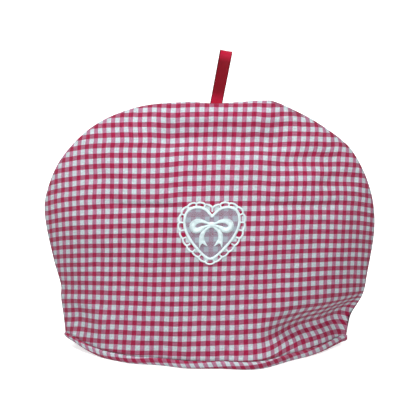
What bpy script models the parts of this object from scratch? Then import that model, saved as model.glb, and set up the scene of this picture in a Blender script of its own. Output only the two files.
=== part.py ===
"""Padded tea cosy in checked cotton: two domed panels, a bound hem, a ribbon loop and a lace heart.

The cosy stands on its hem, with its front towards -Y and its two side seams in the plane y = 0.
Sizes in the tables are millimetres; the meshes are metres.
"""
import bmesh
import bpy
import numpy as np

MM = 0.001
GAP = 0.3                      # clearance between touching pieces

# The padded wall and the two panels
DEPTH_AT_HEM = 57.0            # how far each panel stands out from the plane of the side seams
DEPTH_AT_MIDDLE = 52.0
MIDDLE_HEIGHT = 110.0          # the widest part of the cosy, and the centre of its dome
WALL = 6.0                     # two cotton layers with wadding between them
SEAM_WIDTH = 7.5               # where the two panels are pressed flat together
FRONT_CELLS = (38, 29)         # across and up
BACK_CELLS = (30, 23)
BINDING_STEPS = 36
EDGE_CROWDING = 0.35           # the cells are smaller near the seam
CORNER_SHARE = 0.31            # share of the seam line that each side of a panel's grid takes
SMOOTH_ANGLE = 40.0            # degrees; sharper edges stay sharp
# The dome's section is depth * (1 - out ** fullness) ** roundness, with out from 0 in the middle to 1
# on the seam: value at the sides, and how much less it is at the top
FULLNESS = (2.3, 0.7)
ROUNDNESS = (0.85, 0.15)
SPREAD_POWER = 1.3             # how the panels spread from their middle height down to the hem
ROLL_EASE = 10.0               # a fold that stands out fades where the panel is thinner than this

# The bound hem
BINDING_HEIGHT = 8.5
BINDING_BULGE = 1.3
# From the top of its outer face down, across and up the inner face:
# share of the width, bulge outwards, share of the height
BINDING_SECTION = [
    (0.06, 0.0, 1.0), (0.0, 0.9, 0.78), (0.0, 1.0, 0.32), (0.22, 0.0, 0.0),
    (0.78, 0.0, 0.0), (1.0, -0.5, 0.34), (1.0, -0.4, 0.78), (0.94, 0.0, 1.0),
]

# The ribbon loop
RIBBON_WIDTH = 11.8
RIBBON_THICKNESS = 1.0
RIBBON_LENGTH = 51.5
RIBBON_BASE = (6.1, 259.7)
RIBBON_LEAN = 10.4             # degrees towards +X
RIBBON_TOP_RADIUS = 4.3
RIBBON_BASE_HALF_GAP = 0.25
RIBBON_LEG_STEPS = 9
RIBBON_TURN_STEPS = 10

# The lace heart
HEART_CENTRE = (1.7, 143.0)
HEART_LEAN = 0.045             # the tip stands this share of its depth further left
GROUND_THICKNESS = 1.0
GROUND_MIDDLE = (0.0, 4.0)
GROUND_RINGS = (1.0, 0.72, 0.4)    # size of each ring of the net's cells
BORDER_WIDTH = 2.6
BORDER_THICKNESS = 1.9
# Share of the half width from the middle line outwards, share of the thickness
BORDER_SECTION = [(-1, 0), (-1, 0.5), (-0.5, 1), (0.5, 1), (1, 0.5), (1, 0)]
EDGING_THICKNESS = 1.0
SCALLOPS = 23
SCALLOP_REACH = 3.3            # from the middle of the holes to the scallops' tips
SCALLOP_VALLEY = 1.4           # from the middle of the holes to the dips between the scallops
SCALLOP_HOLE_LENGTH = 5.2
SCALLOP_HOLE_WIDTH = 2.4
SCALLOP_HOLE_SIDES = 8
SCALLOP_ARCH = (0.0, 0.62, 0.95, 1.0, 0.95, 0.62)  # reach at equal steps along one scallop
NOTCH_CUT = 0.4                # offsets of the heart's line end this far from its middle
BOW_THICKNESS = 1.0

# The seam line from the left end of the hem over the top to the right end: x, z
SEAM_POINTS = [
    (-150.3, 14.2), (-150.5, 30), (-152.8, 54), (-152.4, 68), (-158.8, 97), (-165.2, 140),
    (-162.5, 168), (-146, 204), (-113, 237), (-70, 255.5), (-24, 260.5), (3, 259.2),
    (28, 260.5), (52, 262), (66, 258.5), (105, 238), (140, 209.5), (159, 172),
    (165.4, 131), (160.2, 80), (156.5, 57), (145.8, 36), (143, 24), (141.3, 11.2),
]
SEAM_STEPS = 12

# How far the hem's underside is lifted off the table: x, lift
HEM_LIFT = [
    (-150.3, 8.7), (-141, 7.6), (-131, 4.6), (-120, 1.6), (-110, 0), (100, 0), (122, 1.2), (134, 2.2),
    (141.3, 3.9),
]
# The binding narrows towards the corners: x, share of the full height
HEM_SHARE = [(-150.3, 0.65), (-138, 0.72), (-118, 1), (130, 1), (141.3, 0.84)]

# Folds of the cloth, each along a straight line in front view:
# name, x and z of its two ends, depth (inwards is negative), spread below and above it, fade at the ends
FRONT_FOLDS = [
    ("top_trough", -66, 243, 106, 240, -3.2, 9, 8, 34),
    ("top_roll", -20, 254, 60, 254, 1.2, 6, 6, 40),
    ("crease_left", -128, 159, -28, 171, -1.3, 6, 3, 26),
    ("crease_right", 44, 171, 138, 157, -1.3, 6, 3, 26),
    ("right_trough", 58, 220, 132, 206, -2.4, 7, 8, 24),
    ("right_dip", 110, 194, 146, 187, -1.8, 6, 6, 16),
    ("fold_step", 50, 37, 230, 37, -14.5, 28, 16.5, 46),
    ("fold_side", 112, 30, 230, 30, -20, 17, 17, 34),
    ("fold_foot", 8, 8, 84, 8, 5, 12, 12, 36),
    ("left_dip", -136, 8, -130, 64, -4, 12, 14, 26),
    ("left_ridge", -108, 8, -110, 60, 1.6, 9, 10, 26),
    ("hem_left", -84, 8, -20, 8, -3.6, 24, 20, 30),
]
BACK_FOLDS = [
    ("top_trough", -80, 244, 70, 243, -2.2, 9, 8, 34),
    ("crease", -120, 160, 130, 162, -1.0, 6, 3, 40),
    ("fold_valley", 70, 44, 156, 38, -9, 9, 9, 40),
    ("fold_roll", 60, 60, 162, 68, 3.5, 11, 15, 40),
    ("left_dip", -136, 8, -126, 66, -4, 12, 14, 26),
    ("middle_dent", -40, 70, 30, 96, -2.0, 16, 18, 50),
]

# Half of the border's middle line, from the notch round the right lobe to the tip: x, z from the centre
HEART_HALF = [
    (0, 16.8), (2.5, 19.9), (6.5, 24), (11.5, 26.1), (16.5, 26.4), (21.5, 24.6), (25.3, 20), (26.5, 13.1),
    (25.9, 6.7), (23.5, 0), (18.9, -8), (12.5, -16.2), (6.5, -22.8), (2.6, -25.8), (0, -26.9),
]
# Half of the line through the middle of the scallops' holes, with a shallow notch and a round tip
SCALLOP_HALF = [
    (0, 26.2), (4.7, 28), (10.7, 30.1), (18.5, 29.7), (26.2, 24.6), (29.6, 17.5), (30.2, 9.8), (27.9, -1.5),
    (21.7, -12.6), (15.8, -19.2), (9.5, -25), (4, -29.6), (0, -31),
]
HEART_STEPS = 3

# The right half of the bow, from the top of the knot round the loop and the tail: x, z from the knot
BOW_KNOT = (0.0, 10.2)
BOW_HALF = [
    (0, 2.6), (3.0, 2.4), (6.8, 4.0), (11.6, 6.1), (16.4, 5.6), (19.3, 3.4), (21.0, 0.4), (20.6, -4.0),
    (17.6, -7.6), (13.6, -8.2), (10.2, -5.6), (7.0, -3.2), (5.8, -3.6), (8.4, -6.0), (10.4, -9.0),
    (11.2, -13.0), (11.3, -18.0), (10.9, -24.4), (9.1, -20.4), (3.6, -22.6), (6.4, -18.4), (6.9, -13.0),
    (6.6, -8.6), (4.4, -4.9), (2.4, -2.8), (0, -2.8),
]
BOW_SLIT = [(4.4, 0.4), (9.0, 1.5), (13.0, 1.3), (15.6, -1.4), (13.9, -2.4), (9.0, -0.7)]


def clear_scene():
    for obj in list(bpy.data.objects):
        bpy.data.objects.remove(obj, do_unlink=True)


def smooth_line(points, steps, closed=False):
    """A smooth curve through the points, with the given number of steps between two of them."""
    line = np.array(points, float)
    if closed:
        line = np.vstack([line[-1:], line, line[:2]])
    else:
        line = np.vstack([2 * line[0] - line[1], line, 2 * line[-1] - line[-2]])
    t = np.linspace(0, 1, steps, endpoint=False)[:, None]
    pieces = []
    for before, start, end, after in zip(line, line[1:], line[2:], line[3:]):
        bend = 2 * before - 5 * start + 4 * end - after
        twist = 3 * start - before - 3 * end + after
        pieces.append(0.5 * (2 * start + (end - before) * t + bend * t**2 + twist * t**3))
    if not closed:
        pieces.append(line[-2:-1])
    return np.vstack(pieces)


def table_value(table, x):
    columns = np.array(table, float)
    return np.interp(x, columns[:, 0], columns[:, 1])


def smooth_step(value):
    value = np.clip(value, 0, 1)
    return value * value * (3 - 2 * value)


def hem_underside(x):
    return table_value(HEM_LIFT, x)


def hem_seam_height(x):
    return hem_underside(x) + BINDING_HEIGHT * table_value(HEM_SHARE, x)


def inset_line(line, distance):
    """The seam line moved inwards, with its ends kept at their height."""
    along = np.gradient(line, axis=0)
    along /= np.linalg.norm(along, axis=1)[:, None]
    inwards = np.stack([along[:, 1], -along[:, 0]], axis=1)
    moved = line + distance * inwards
    moved[0] = line[0] + (distance, 0)
    moved[-1] = line[-1] - (distance, 0)
    return moved


SEAM_LINE = smooth_line(SEAM_POINTS, SEAM_STEPS)
INNER_LINE = inset_line(SEAM_LINE, SEAM_WIDTH)


def share_of_way_out(x, z, line):
    """0 in the middle of the panel and 1 on its seam; also how far the point is above the middle."""
    half = len(line) // 2
    left, right = line[:half], line[half:][::-1]
    low = np.minimum(z, MIDDLE_HEIGHT)
    left_edge = np.interp(low, left[:, 1], left[:, 0])
    right_edge = np.interp(low, right[:, 1], right[:, 0])
    share_low = np.where(x < 0, x / left_edge, x / right_edge)
    rise = line[:, 1] - MIDDLE_HEIGHT
    angle = np.arctan2(x, z - MIDDLE_HEIGHT)
    radius = np.interp(angle, np.arctan2(line[:, 0], rise), np.hypot(line[:, 0], rise))
    share_high = np.hypot(x, z - MIDDLE_HEIGHT) / radius
    above = z >= MIDDLE_HEIGHT
    return np.clip(np.where(above, share_high, share_low), 0, 1), np.where(above, np.cos(angle) ** 2, 0)


def fold_depth(x, z, folds):
    total = np.zeros(np.broadcast(x, z).shape)
    for name, x0, z0, x1, z1, depth, below, above, fade in folds:
        length = np.hypot(x1 - x0, z1 - z0)
        run_x, run_z = (x1 - x0) / length, (z1 - z0) / length
        along = (x - x0) * run_x + (z - z0) * run_z
        off = (z - z0) * run_x - (x - x0) * run_z
        spread = np.where(off < 0, below, above)
        ends = smooth_step(along / fade) * smooth_step((length - along) / fade)
        total += depth * ends * np.exp(-((off / spread) ** 2))
    return total


def panel_depth(x, z, line, folds, wall=0.0):
    """How far the cloth stands out from the plane of the side seams."""
    out, up = share_of_way_out(x, z, line)
    fullness = FULLNESS[0] - FULLNESS[1] * up
    roundness = ROUNDNESS[0] - ROUNDNESS[1] * up
    spread = (DEPTH_AT_HEM - DEPTH_AT_MIDDLE) * np.clip(1 - z / MIDDLE_HEIGHT, 0, 1) ** SPREAD_POWER
    smooth = (DEPTH_AT_MIDDLE + spread - wall) * (1 - out**fullness) ** roundness
    smooth = np.maximum(smooth, 1e-6)
    fold = fold_depth(x, z, folds)
    pushed_in = smooth * np.exp(np.minimum(fold, 0) / smooth)
    return pushed_in + np.maximum(fold, 0) * (1 - np.exp(-smooth / ROLL_EASE))


def front_depth(x, z):
    return panel_depth(x, z, SEAM_LINE, FRONT_FOLDS)


def crowd(share):
    return share - EDGE_CROWDING * np.sin(2 * np.pi * share) / (2 * np.pi)


def along_line(line, share):
    length = np.concatenate([[0], np.cumsum(np.linalg.norm(np.diff(line, axis=0), axis=1))])
    at = share * length[-1]
    return np.stack([np.interp(at, length, line[:, 0]), np.interp(at, length, line[:, 1])], axis=-1)


def panel_grid(line, across, up):
    """Points in front view that fill the space between the hem and the seam line: [row][column] x, z."""
    u, v = crowd(np.linspace(0, 1, across + 1)), crowd(np.linspace(0, 1, up + 1))
    left = along_line(line, v * CORNER_SHARE)
    right = along_line(line, 1 - v * CORNER_SHARE)
    top = along_line(line, CORNER_SHARE + u * (1 - 2 * CORNER_SHARE))
    hem_x = line[0, 0] + u * (line[-1, 0] - line[0, 0])
    bottom = np.stack([hem_x, hem_seam_height(hem_x)], axis=-1)
    bottom[0], bottom[-1] = left[0], right[0]
    u, v = u[None, :, None], v[:, None, None]
    sides = (1 - u) * left[:, None] + u * right[:, None]
    ends = (1 - v) * bottom[None] + v * top[None]
    corners = (1 - v) * ((1 - u) * left[0] + u * right[0]) + v * ((1 - u) * left[-1] + u * right[-1])
    return sides + ends - corners


def material_for(name, colour, roughness, sheen=0.0):
    material = bpy.data.materials.new(name)
    material.use_nodes = True
    shader = material.node_tree.nodes["Principled BSDF"]
    shader.inputs["Base Color"].default_value = (*colour, 1)
    shader.inputs["Roughness"].default_value = roughness
    shader.inputs["Sheen Weight"].default_value = sheen
    return material


def add_object(name, mesh, material, collection):
    mesh.materials.clear()
    mesh.materials.append(material)
    mesh.shade_smooth()
    mesh.set_sharp_from_angle(angle=np.radians(SMOOTH_ANGLE))
    obj = bpy.data.objects.new(name, mesh)
    collection.objects.link(obj)
    return obj


def add_verts(bm, points):
    return [[bm.verts.new(point * MM) for point in row] for row in points]


def skin(bm, rows, rows_closed=False, columns_closed=False):
    """Four-sided faces between neighbouring rows of vertices."""
    for i in range(len(rows) if rows_closed else len(rows) - 1):
        row, next_row = rows[i], rows[(i + 1) % len(rows)]
        for j in range(len(row) if columns_closed else len(row) - 1):
            k = (j + 1) % len(row)
            bm.faces.new((row[j], row[k], next_row[k], next_row[j]))


def finish_mesh(bm, name):
    bmesh.ops.recalc_face_normals(bm, faces=bm.faces)
    mesh = bpy.data.meshes.new(name)
    bm.to_mesh(mesh)
    bm.free()
    return mesh


def make_panel(name, side, cells, folds, material, collection):
    """One padded panel: an outer and an inner sheet, joined round their edge."""
    bm = bmesh.new()
    sheets = []
    for line, wall in ((SEAM_LINE, 0.0), (INNER_LINE, WALL)):
        grid = panel_grid(line, *cells)
        depth = panel_depth(grid[..., 0], grid[..., 1], line, folds, wall)
        depth[:, [0, -1]] = 0
        depth[-1] = 0
        y = side * (depth + GAP / 2)
        sheets.append(add_verts(bm, np.stack([grid[..., 0], y, grid[..., 1]], axis=-1)))
    for sheet in sheets:
        skin(bm, sheet)
    rims = []
    for sheet in sheets:
        right, left = [row[-1] for row in sheet], [row[0] for row in sheet]
        rims.append(sheet[0] + right[1:] + sheet[-1][-2::-1] + left[-2:0:-1])
    skin(bm, rims, columns_closed=True)
    return add_object(name, finish_mesh(bm, name), material, collection)


def hem_loop(line, wall):
    """Plan of the panels' lower edge, once round from the left corner: x, y."""
    u = crowd(np.linspace(0, 1, BINDING_STEPS + 1))
    x = line[0, 0] + u * (line[-1, 0] - line[0, 0])
    z = hem_seam_height(x)
    front = -panel_depth(x, z, line, FRONT_FOLDS, wall)
    back = panel_depth(x, z, line, BACK_FOLDS, wall)
    front[[0, -1]] = 0
    x, y = np.concatenate([x, x[-2:0:-1]]), np.concatenate([front, back[-2:0:-1]])
    return np.stack([x, y], axis=-1)


def make_binding(material, collection):
    """The hem's binding: a rounded strip under both panels, flat where it stands."""
    outer, inner = hem_loop(SEAM_LINE, 0.0), hem_loop(INNER_LINE, WALL)
    across = inner - outer
    across /= np.linalg.norm(across, axis=1)[:, None]
    width = np.linalg.norm(inner - outer, axis=1)
    rows = []
    for share, bulge, up in BINDING_SECTION:
        bottom = (1 - share) * hem_underside(outer[:, 0]) + share * hem_underside(inner[:, 0])
        top = (1 - share) * hem_seam_height(outer[:, 0]) + share * hem_seam_height(inner[:, 0]) - GAP
        plan = outer + across * (share * width - bulge * BINDING_BULGE)[:, None]
        rows.append(np.column_stack([plan, bottom + up * (top - bottom)]))
    bm = bmesh.new()
    skin(bm, add_verts(bm, np.array(rows)), rows_closed=True, columns_closed=True)
    return add_object("hem_binding", finish_mesh(bm, "hem_binding"), material, collection)


def ribbon_path():
    """Middle line of the folded ribbon in its own plane: y, height above the seam."""
    radius = RIBBON_TOP_RADIUS - RIBBON_THICKNESS / 2
    start = RIBBON_BASE_HALF_GAP + RIBBON_THICKNESS / 2
    straight = RIBBON_LENGTH - RIBBON_TOP_RADIUS
    rise = np.linspace(0, 1, RIBBON_LEG_STEPS + 1)
    leg = np.stack([-(start + (radius - start) * smooth_step(rise)), rise * straight], axis=-1)
    turn = np.linspace(np.pi, 0, RIBBON_TURN_STEPS + 1)[1:-1]
    top = np.stack([radius * np.cos(turn), straight + radius * np.sin(turn)], axis=-1)
    return np.vstack([leg, top, (leg * (-1, 1))[::-1]])


def make_ribbon(material, collection):
    """One length of ribbon folded in half, standing in the seam and leaning to the right."""
    path = ribbon_path()
    along = np.gradient(path, axis=0)
    along /= np.linalg.norm(along, axis=1)[:, None]
    along[[0, -1]] = (0, 1), (0, -1)
    across = np.stack([along[:, 1], -along[:, 0]], axis=-1) * RIBBON_THICKNESS / 2
    lean = np.radians(RIBBON_LEAN)
    rows = []
    for edge, face in ((-1, -1), (-1, 1), (1, 1), (1, -1)):
        y, up = (path + face * across).T
        side = edge * RIBBON_WIDTH / 2
        x = RIBBON_BASE[0] + side * np.cos(lean) + up * np.sin(lean)
        z = RIBBON_BASE[1] + GAP - side * np.sin(lean) + up * np.cos(lean)
        z[[0, -1]] = RIBBON_BASE[1] + GAP
        rows.append(np.column_stack([x, y, z]))
    bm = bmesh.new()
    verts = add_verts(bm, np.array(rows))
    skin(bm, verts, rows_closed=True)
    bm.faces.new([row[0] for row in verts])
    bm.faces.new([row[-1] for row in verts])
    return add_object("ribbon_loop", finish_mesh(bm, "ribbon_loop"), material, collection)


def whole_from_half(half):
    right = np.array(half, float)
    return np.vstack([right, (right * (-1, 1))[-2:0:-1]])


def outwards(line):
    along = np.gradient(line, axis=0)
    along /= np.linalg.norm(along, axis=1)[:, None]
    return np.stack([-along[:, 1], along[:, 0]], axis=-1)


def heart_offset(distance):
    """The border's middle line moved outwards by a distance, with a sharp notch and tip on x = 0."""
    side = smooth_line(HEART_HALF, HEART_STEPS)
    moved = side + outwards(side) * distance
    moved = moved[moved[:, 0] > NOTCH_CUT]
    ends = []
    for near, end in ((moved[1], moved[0]), (moved[-2], moved[-1])):
        ends.append(end + (near - end) * end[0] / (end[0] - near[0]))
    half = along_line(np.vstack([ends[:1], moved, ends[1:]]), np.linspace(0, 1, len(side)))
    return np.vstack([half, (half * (-1, 1))[-2:0:-1]])


def on_panel(points, height):
    """Heart coordinates leant, moved to the front panel and lifted off its surface."""
    x = HEART_CENTRE[0] + points[..., 0] + HEART_LEAN * points[..., 1]
    z = HEART_CENTRE[1] + points[..., 1]
    y = -(front_depth(x, z) + GAP / 2 + GAP + height)
    return np.stack([x, y, z], axis=-1)


def flat_motif(name, outlines, base, thickness, material, collection):
    """A filled flat outline with holes, given its thickness and then laid on the panel."""
    curve = bpy.data.curves.new(name, "CURVE")
    curve.dimensions = "2D"
    curve.fill_mode = "BOTH"
    curve.extrude = thickness / 2
    for outline in outlines:
        spline = curve.splines.new("POLY")
        spline.points.add(len(outline) - 1)
        for point, (x, z) in zip(spline.points, outline):
            point.co = (x, z, 0, 1)
        spline.use_cyclic_u = True
    flat = bpy.data.objects.new(name + "_flat", curve)
    collection.objects.link(flat)
    mesh = bpy.data.meshes.new_from_object(flat.evaluated_get(bpy.context.evaluated_depsgraph_get()))
    bpy.data.objects.remove(flat, do_unlink=True)
    bm = bmesh.new()
    bm.from_mesh(mesh)
    bmesh.ops.remove_doubles(bm, verts=bm.verts, dist=0.0001)
    for vert in bm.verts:
        x, z, level = vert.co
        vert.co = on_panel(np.array([x, z]), base + thickness / 2 + level) * MM
    bpy.data.meshes.remove(mesh)
    return add_object(name, finish_mesh(bm, name), material, collection)


def make_border(material, collection):
    """The satin-stitched cord round the heart, low and round-topped."""
    rows = []
    for out, up in BORDER_SECTION:
        rows.append(on_panel(heart_offset(out * BORDER_WIDTH / 2), up * BORDER_THICKNESS))
    bm = bmesh.new()
    skin(bm, add_verts(bm, np.array(rows)), rows_closed=True, columns_closed=True)
    return add_object("heart_border", finish_mesh(bm, "heart_border"), material, collection)


def make_ground(material, collection):
    """The net inside the border, as rings that shrink towards the heart's middle."""
    rim = heart_offset(-BORDER_WIDTH / 2 - GAP)
    middle = np.array(GROUND_MIDDLE)
    bm = bmesh.new()
    sheets = []
    for level in (0.0, GROUND_THICKNESS):
        rings = [on_panel(middle + (rim - middle) * share, level) for share in GROUND_RINGS]
        verts = add_verts(bm, np.array(rings))
        skin(bm, verts, columns_closed=True)
        centre = bm.verts.new(on_panel(middle, level) * MM)
        last = verts[-1]
        for j, vert in enumerate(last):
            bm.faces.new((vert, last[(j + 1) % len(last)], centre))
        sheets.append(verts)
    skin(bm, [sheets[0][0], sheets[1][0]], columns_closed=True)
    return add_object("heart_ground", finish_mesh(bm, "heart_ground"), material, collection)


def make_edging(material, collection):
    """Small thread loops all round the border, each with its own hole."""
    path = smooth_line(whole_from_half(SCALLOP_HALF), HEART_STEPS, closed=True)
    path = np.vstack([path, path[:1]])
    away = outwards(path)
    away[[0, -1]] = (0, 1)
    length = np.concatenate([[0], np.cumsum(np.linalg.norm(np.diff(path, axis=0), axis=1))])
    pitch = length[-1] / SCALLOPS

    def beside(at, offset):
        point = np.array([np.interp(at, length, path[:, axis]) for axis in range(2)])
        direction = np.array([np.interp(at, length, away[:, axis]) for axis in range(2)])
        return point + offset * direction

    outline, holes = [], []
    for scallop in range(SCALLOPS):
        start = scallop * pitch
        for step, share in enumerate(SCALLOP_ARCH):
            offset = SCALLOP_VALLEY + (SCALLOP_REACH - SCALLOP_VALLEY) * share
            outline.append(beside(start + pitch * step / len(SCALLOP_ARCH), offset))
        hole = []
        for turn in np.linspace(0, 2 * np.pi, SCALLOP_HOLE_SIDES, endpoint=False):
            along = start + pitch / 2 + SCALLOP_HOLE_LENGTH / 2 * np.cos(turn)
            hole.append(beside(along, SCALLOP_HOLE_WIDTH / 2 * np.sin(turn)))
        holes.append(hole)
    foot = heart_offset(BORDER_WIDTH / 2 + GAP)
    return flat_motif("lace_edging", [outline, foot] + holes, 0.0, EDGING_THICKNESS, material, collection)


def make_bow(material, collection):
    outline = whole_from_half(BOW_HALF) + BOW_KNOT
    slit = np.array(BOW_SLIT, float)
    slits = [slit + BOW_KNOT, slit * (-1, 1) + BOW_KNOT]
    base = GROUND_THICKNESS + GAP
    return flat_motif("bow_motif", [outline] + slits, base, BOW_THICKNESS, material, collection)


clear_scene()
cosy = bpy.data.collections.new("tea_cosy")
bpy.context.scene.collection.children.link(cosy)

check_red = (0.42, 0.06, 0.12)
slanted_red = (0.5, 0.1, 0.17)
thread_white = (0.82, 0.85, 0.84)
front_cotton = material_for("front_cotton", check_red, 0.9, 0.2)
back_cotton = material_for("back_cotton", check_red, 0.9, 0.2)
make_panel("front_panel", -1, FRONT_CELLS, FRONT_FOLDS, front_cotton, cosy)
make_panel("back_panel", 1, BACK_CELLS, BACK_FOLDS, back_cotton, cosy)
make_binding(material_for("binding_cotton", slanted_red, 0.9, 0.2), cosy)
make_ribbon(material_for("red_satin", (0.45, 0.01, 0.03), 0.35), cosy)
make_ground(material_for("white_net", (0.75, 0.66, 0.7), 0.9), cosy)
make_border(material_for("white_border_thread", thread_white, 0.6), cosy)
make_edging(material_for("white_loop_thread", thread_white, 0.7), cosy)
make_bow(material_for("white_bow_thread", thread_white, 0.6), cosy)
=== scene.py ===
import math

import bmesh
import bpy
import numpy as np
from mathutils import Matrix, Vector


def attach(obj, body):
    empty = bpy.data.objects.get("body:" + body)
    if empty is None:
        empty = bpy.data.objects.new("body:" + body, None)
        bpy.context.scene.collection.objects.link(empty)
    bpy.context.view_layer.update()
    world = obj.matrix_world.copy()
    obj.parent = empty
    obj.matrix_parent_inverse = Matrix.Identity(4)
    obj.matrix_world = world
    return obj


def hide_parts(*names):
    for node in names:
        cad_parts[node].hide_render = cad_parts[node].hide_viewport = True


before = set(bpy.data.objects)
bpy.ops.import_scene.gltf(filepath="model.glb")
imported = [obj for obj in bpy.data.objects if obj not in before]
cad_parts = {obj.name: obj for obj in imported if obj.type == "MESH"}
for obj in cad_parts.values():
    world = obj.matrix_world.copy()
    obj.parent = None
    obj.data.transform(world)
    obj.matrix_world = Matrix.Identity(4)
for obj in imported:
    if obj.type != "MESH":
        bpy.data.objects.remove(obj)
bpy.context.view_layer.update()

# The table and the studio. A pale table runs back without an edge. One soft light hangs above and
# a little in front of the cosy, one stands far in front and one lights the table behind. The camera
# looks down on it from about chest height.
TABLE_REACH = 60.0
TABLE_COLOUR = (0.9, 0.9, 0.9)
TABLE_ROUGHNESS = 0.9
TABLE_GLOW = 0.5
STUDIO_LIGHT = 0.35
CAMERA_RISE = math.radians(20.0)
CAMERA_DISTANCE = 1.3
CAMERA_AIM = (-0.002, 0.0, 0.1509)
PHOTO_WIDTH = 416
PHOTO_SCALE = 1300          # pixels across one metre at one metre's distance
SENSOR_WIDTH = 36.0
# Name, place, the point that it is turned to, width and height, power in watts
LAMPS = [
    ("overhead_softbox", (-0.16, -0.40, 1.50), (0, 0, 0.12), (0.6, 0.4), 15.5),
    ("front_fill", (-0.12, -1.80, 0.50), (0, 0, 0.10), (1.2, 0.8), 23.0),
    ("back_wash", (0.0, 2.6, 1.7), (0, 2.2, 0), (2.4, 1.6), 60.0),
]


def glowing_table(name):
    material = bpy.data.materials.new(name)
    material.use_nodes = True
    shader = material.node_tree.nodes["Principled BSDF"]
    shader.inputs["Base Color"].default_value = (*TABLE_COLOUR, 1)
    shader.inputs["Roughness"].default_value = TABLE_ROUGHNESS
    shader.inputs["Emission Color"].default_value = (1, 1, 1, 1)
    shader.inputs["Emission Strength"].default_value = TABLE_GLOW
    return material


def link_object(name, mesh):
    obj = bpy.data.objects.new(name, mesh)
    bpy.context.scene.collection.objects.link(obj)
    return obj


table_mesh = bpy.data.meshes.new("table_top")
table_bm = bmesh.new()
bmesh.ops.create_grid(table_bm, x_segments=1, y_segments=1, size=TABLE_REACH)
table_bm.to_mesh(table_mesh)
table_bm.free()
table_top = link_object("table_top", table_mesh)
table_mesh.materials.append(glowing_table("pale_table"))
# The table throws no light back on the cosy, which is lit by the lamps and the studio alone
table_top.visible_diffuse = False

camera_data = bpy.data.cameras.new("photo_camera")
camera_data.sensor_width = SENSOR_WIDTH
camera_data.lens = SENSOR_WIDTH * PHOTO_SCALE / PHOTO_WIDTH
camera_data.dof.use_dof = False
camera = bpy.data.objects.new("photo_camera", camera_data)
camera_away = Vector((0, -math.cos(CAMERA_RISE), math.sin(CAMERA_RISE)))
camera.location = Vector(CAMERA_AIM) + camera_away * CAMERA_DISTANCE
camera.rotation_euler = (-camera_away).to_track_quat("-Z", "Y").to_euler()
bpy.context.scene.collection.objects.link(camera)
bpy.context.scene.camera = camera


def area_light(name, place, aim, size, power):
    data = bpy.data.lights.new(name, "AREA")
    data.shape = "RECTANGLE"
    data.size, data.size_y = size
    data.energy = power
    lamp = bpy.data.objects.new(name, data)
    lamp.location = place
    lamp.rotation_euler = (Vector(aim) - Vector(place)).to_track_quat("-Z", "Y").to_euler()
    bpy.context.scene.collection.objects.link(lamp)


for lamp_settings in LAMPS:
    area_light(*lamp_settings)

studio = bpy.data.worlds.new("white_studio")
studio.use_nodes = True
studio.node_tree.nodes["Background"].inputs["Color"].default_value = (1.0, 1.0, 1.0, 1)
studio.node_tree.nodes["Background"].inputs["Strength"].default_value = STUDIO_LIGHT
bpy.context.scene.world = studio
bpy.context.scene.view_settings.view_transform = "Standard"

# The front panel. A dome of cotton check, wadding and white cotton, sewn up its curved edge to the
# back panel and turned right side out, so that the seam puckers and the wadding rolls the edge.
MM = 0.001                  # the cosy's own sizes are in millimetres, unless a line says otherwise
DEPTH_AT_HEM = 57.0
DEPTH_AT_MIDDLE = 52.0
MIDDLE_HEIGHT = 110.0
WALL = 6.0
SEAM_WIDTH = 7.5
SEAM_GAP = 0.08
BINDING_HEIGHT = 8.5
PANEL_CELLS = (200, 150)
EDGE_CROWDING = 0.35        # how much closer the mesh lines lie near the edges
CORNER_SHARE = 0.31         # the share of the seam line that is the mesh's left or right side
# The dome's section is depth * (1 - out ** fullness) ** roundness, with out from 0 in the middle to 1
# on the seam: value at the sides, and how much less it is at the top
FULLNESS = (2.3, 0.7)
ROUNDNESS = (0.85, 0.15)
SPREAD_POWER = 1.3
ROLL_EASE = 10.0
# The seam line from the left end of the hem over the top to the right end: x, z
SEAM_POINTS = [
    (-149.6, 12.4), (-150.6, 30), (-152.8, 54), (-152.4, 68), (-158.8, 97), (-165.2, 140),
    (-162.5, 168), (-146, 204), (-113, 237), (-70, 255.5), (-24, 260.5), (3, 259.2),
    (28, 260.5), (52, 262), (66, 258.5), (105, 238), (140, 209.5), (159, 172),
    (165.4, 131), (160.2, 80), (156.5, 57), (145.8, 36), (143, 24), (141.3, 11.2),
]
# How far the hem's underside is lifted off the table, and the binding's share of its full height, by x
HEM_LIFT = [
    (-150.3, 8.7), (-141, 7.6), (-131, 4.6), (-120, 1.6), (-110, 0), (100, 0), (122, 1.2), (134, 2.2),
    (141.3, 3.9),
]
HEM_SHARE = [(-150.3, 0.65), (-138, 0.72), (-118, 1), (130, 1), (141.3, 0.84)]
# name, x and z of the fold's two ends, depth (inwards is negative), spread below and above it, fade
FRONT_FOLDS = [
    ("top_trough", -66, 243, 106, 240, -3.2, 9, 8, 34),
    ("top_roll", -20, 254, 60, 254, 1.2, 6, 6, 40),
    ("crease_left", -128, 159, -28, 171, -1.3, 6, 3, 26),
    ("crease_right", 44, 171, 138, 157, -1.3, 6, 3, 26),
    ("right_trough", 58, 220, 132, 206, -2.4, 7, 8, 24),
    ("right_dip", 110, 194, 146, 187, -1.8, 6, 6, 16),
    ("fold_step", 50, 37, 230, 37, -14.5, 28, 16.5, 46),
    ("fold_side", 112, 30, 230, 30, -20, 17, 17, 34),
    ("fold_foot", 8, 8, 84, 8, 5, 12, 12, 36),
    ("left_dip", -136, 8, -130, 64, -4, 12, 14, 26),
    ("left_ridge", -108, 8, -110, 60, 1.6, 9, 10, 26),
    ("hem_left", -84, 8, -20, 8, -3.6, 24, 20, 30),
]
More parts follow.
